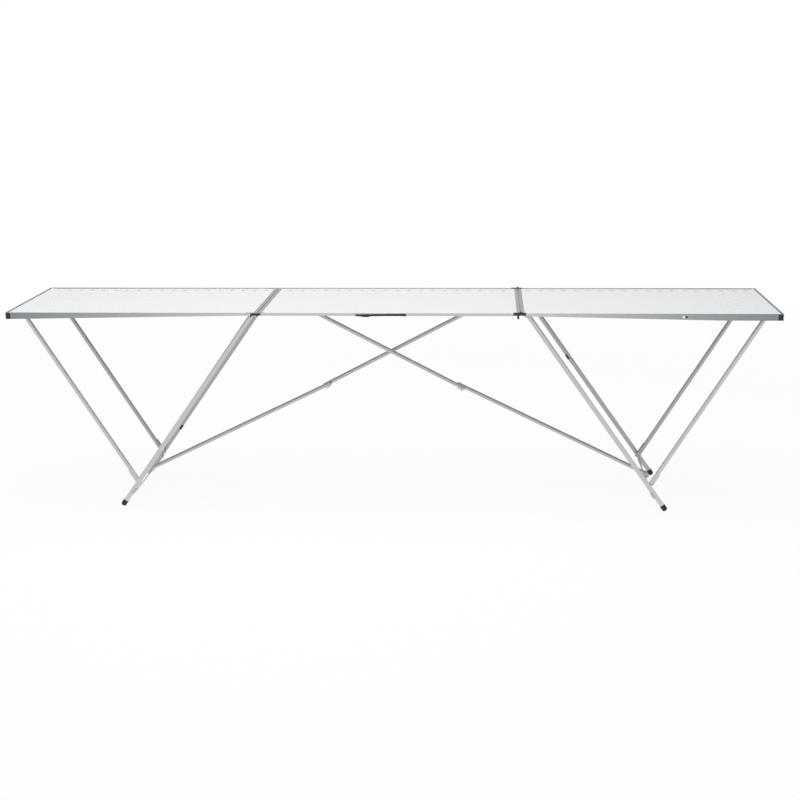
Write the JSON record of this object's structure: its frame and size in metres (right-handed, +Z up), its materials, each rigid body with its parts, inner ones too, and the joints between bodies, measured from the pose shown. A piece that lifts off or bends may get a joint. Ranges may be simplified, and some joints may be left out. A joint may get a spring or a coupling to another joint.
{
  "type": "folding trestle table",
  "caption": "Long low-profile pasting table with hinged boards in slotted rails, splayed tube legs, hooked struts, clipped cross braces and a pull-out handle.",
  "frame": {"origin": "on the floor under the middle of the table", "axes": "+X along the table to the right seen from the handle side, +Y to the back, +Z up"},
  "size_m": [3, 0.6, 0.8105],
  "materials": {
    "laminate": "white laminate, satin",
    "aluminium": "satin anodised",
    "plated_steel": "zinc plated",
    "black_plastic": "moulded, matt",
    "rubber": "matt",
    "clear_plastic": "translucent white"
  },
  "bodies": {
    "center_panel": {"center_board": "laminate", "center_front_rail": "aluminium", "center_rear_rail": "aluminium", "center_left_hinge_rail": "aluminium", "center_right_hinge_rail": "aluminium", "left_hinge_center_blocks": "aluminium", "right_hinge_center_blocks": "black_plastic", "brace_top_brackets": "plated_steel", "handle_guides": "black_plastic"},
    "carry_handle": {"carry_handle": "black_plastic"},
    "left_links": {"left_hinge_links": "aluminium"},
    "right_panel": {"right_board": "laminate", "right_front_rail": "aluminium", "right_rear_rail": "aluminium", "right_outer_rail": "aluminium", "right_hinge_rail": "aluminium", "right_corner_caps": "black_plastic", "right_leg_brackets": "plated_steel", "right_strut_brackets": "plated_steel", "right_hinge_outer_blocks": "black_plastic"},
    "right_leg": {"right_leg_front_tube": "aluminium", "right_leg_rear_tube": "aluminium", "right_leg_crossbar": "aluminium", "right_leg_feet": "rubber", "right_brace_clevis": "plated_steel"},
    "right_front_strut": {"right_strut_front": "aluminium"},
    "right_rear_strut": {"right_strut_rear": "aluminium"},
    "right_lower_brace": {"right_brace_lower_tube": "aluminium"},
    "right_upper_brace": {"right_brace_upper_tube": "aluminium", "right_brace_clip": "clear_plastic"},
    "left_panel": {"left_board": "laminate", "left_front_rail": "aluminium", "left_rear_rail": "aluminium", "left_outer_rail": "aluminium", "left_hinge_rail": "aluminium", "left_corner_caps": "black_plastic", "left_leg_brackets": "plated_steel", "left_strut_brackets": "plated_steel", "left_hinge_outer_blocks": "aluminium"},
    "left_leg": {"left_leg_front_tube": "aluminium", "left_leg_rear_tube": "aluminium", "left_leg_crossbar": "aluminium", "left_leg_feet": "rubber", "left_brace_clevis": "plated_steel"},
    "left_front_strut": {"left_strut_front": "aluminium"},
    "left_rear_strut": {"left_strut_rear": "aluminium"},
    "left_lower_brace": {"left_brace_lower_tube": "aluminium"},
    "left_upper_brace": {"left_brace_upper_tube": "aluminium", "left_brace_clip": "clear_plastic"}
  },
  "joints": [
    {"name": "right_panel_fold", "type": "hinge", "parent": "center_panel", "child": "right_panel", "pos_m": [0.508, 0, 0.8065], "axis": [0, -1, 0], "range_deg": [0, 180]},
    {"name": "left_link_fold", "type": "hinge", "parent": "center_panel", "child": "left_links", "pos_m": [-0.498, 0, 0.799], "axis": [0, 1, 0], "range_deg": [0, 90]},
    {"name": "left_panel_fold", "type": "hinge", "parent": "left_links", "child": "left_panel", "pos_m": [-0.546, 0, 0.799], "axis": [0, 1, 0], "range_deg": [0, 90]},
    {"name": "handle_slide", "type": "slide", "parent": "center_panel", "child": "carry_handle", "axis": [0, -1, 0], "range_m": [0, 0.03]},
    {"name": "right_leg_fold", "type": "hinge", "parent": "right_panel", "child": "right_leg", "pos_m": [0.5375, 0, 0.7878], "axis": [0, -1, 0], "range_deg": [0, 54.79]},
    {"name": "right_front_strut_fold", "type": "hinge", "parent": "right_panel", "child": "right_front_strut", "pos_m": [1.455, 0, 0.7883], "axis": [0, 1, 0], "range_deg": [0, 58.28]},
    {"name": "right_rear_strut_fold", "type": "hinge", "parent": "right_panel", "child": "right_rear_strut", "pos_m": [1.455, 0, 0.7883], "axis": [0, 1, 0], "range_deg": [0, 58.28]},
    {"name": "right_lower_brace_fold", "type": "hinge", "parent": "right_leg", "child": "right_lower_brace", "pos_m": [1.03569, 0, 0.08189], "axis": [0, 1, 0], "range_deg": [0, 28.89]},
    {"name": "right_upper_brace_fold", "type": "hinge", "parent": "center_panel", "child": "right_upper_brace", "pos_m": [-0.375, 0, 0.7893], "axis": [0, -1, 0], "range_deg": [0, 27.51]},
    {"name": "left_leg_fold", "type": "hinge", "parent": "left_panel", "child": "left_leg", "pos_m": [-0.5375, 0, 0.7878], "axis": [0, 1, 0], "range_deg": [0, 54.79]},
    {"name": "left_front_strut_fold", "type": "hinge", "parent": "left_panel", "child": "left_front_strut", "pos_m": [-1.455, 0, 0.7883], "axis": [0, -1, 0], "range_deg": [0, 58.28]},
    {"name": "left_rear_strut_fold", "type": "hinge", "parent": "left_panel", "child": "left_rear_strut", "pos_m": [-1.455, 0, 0.7883], "axis": [0, -1, 0], "range_deg": [0, 58.28]},
    {"name": "left_lower_brace_fold", "type": "hinge", "parent": "left_leg", "child": "left_lower_brace", "pos_m": [-1.03569, 0, 0.08189], "axis": [0, -1, 0], "range_deg": [0, 28.89]},
    {"name": "left_upper_brace_fold", "type": "hinge", "parent": "center_panel", "child": "left_upper_brace", "pos_m": [0.375, 0, 0.7893], "axis": [0, 1, 0], "range_deg": [0, 27.51]}
  ],
  "couplings": [
    {"joint": "right_leg_fold", "follows": "right_panel_fold", "ratio": 0.30438},
    {"joint": "right_front_strut_fold", "follows": "right_panel_fold", "ratio": 0.32378},
    {"joint": "right_rear_strut_fold", "follows": "right_panel_fold", "ratio": 0.32378},
    {"joint": "right_lower_brace_fold", "follows": "right_panel_fold", "ratio": 0.16048},
    {"joint": "right_upper_brace_fold", "follows": "right_panel_fold", "ratio": 0.15285},
    {"joint": "left_leg_fold", "follows": "left_panel_fold", "ratio": 0.60875},
    {"joint": "left_front_strut_fold", "follows": "left_panel_fold", "ratio": 0.64756},
    {"joint": "left_rear_strut_fold", "follows": "left_panel_fold", "ratio": 0.64756},
    {"joint": "left_lower_brace_fold", "follows": "left_panel_fold", "ratio": 0.32096},
    {"joint": "left_upper_brace_fold", "follows": "left_panel_fold", "ratio": 0.30569}
  ]
}
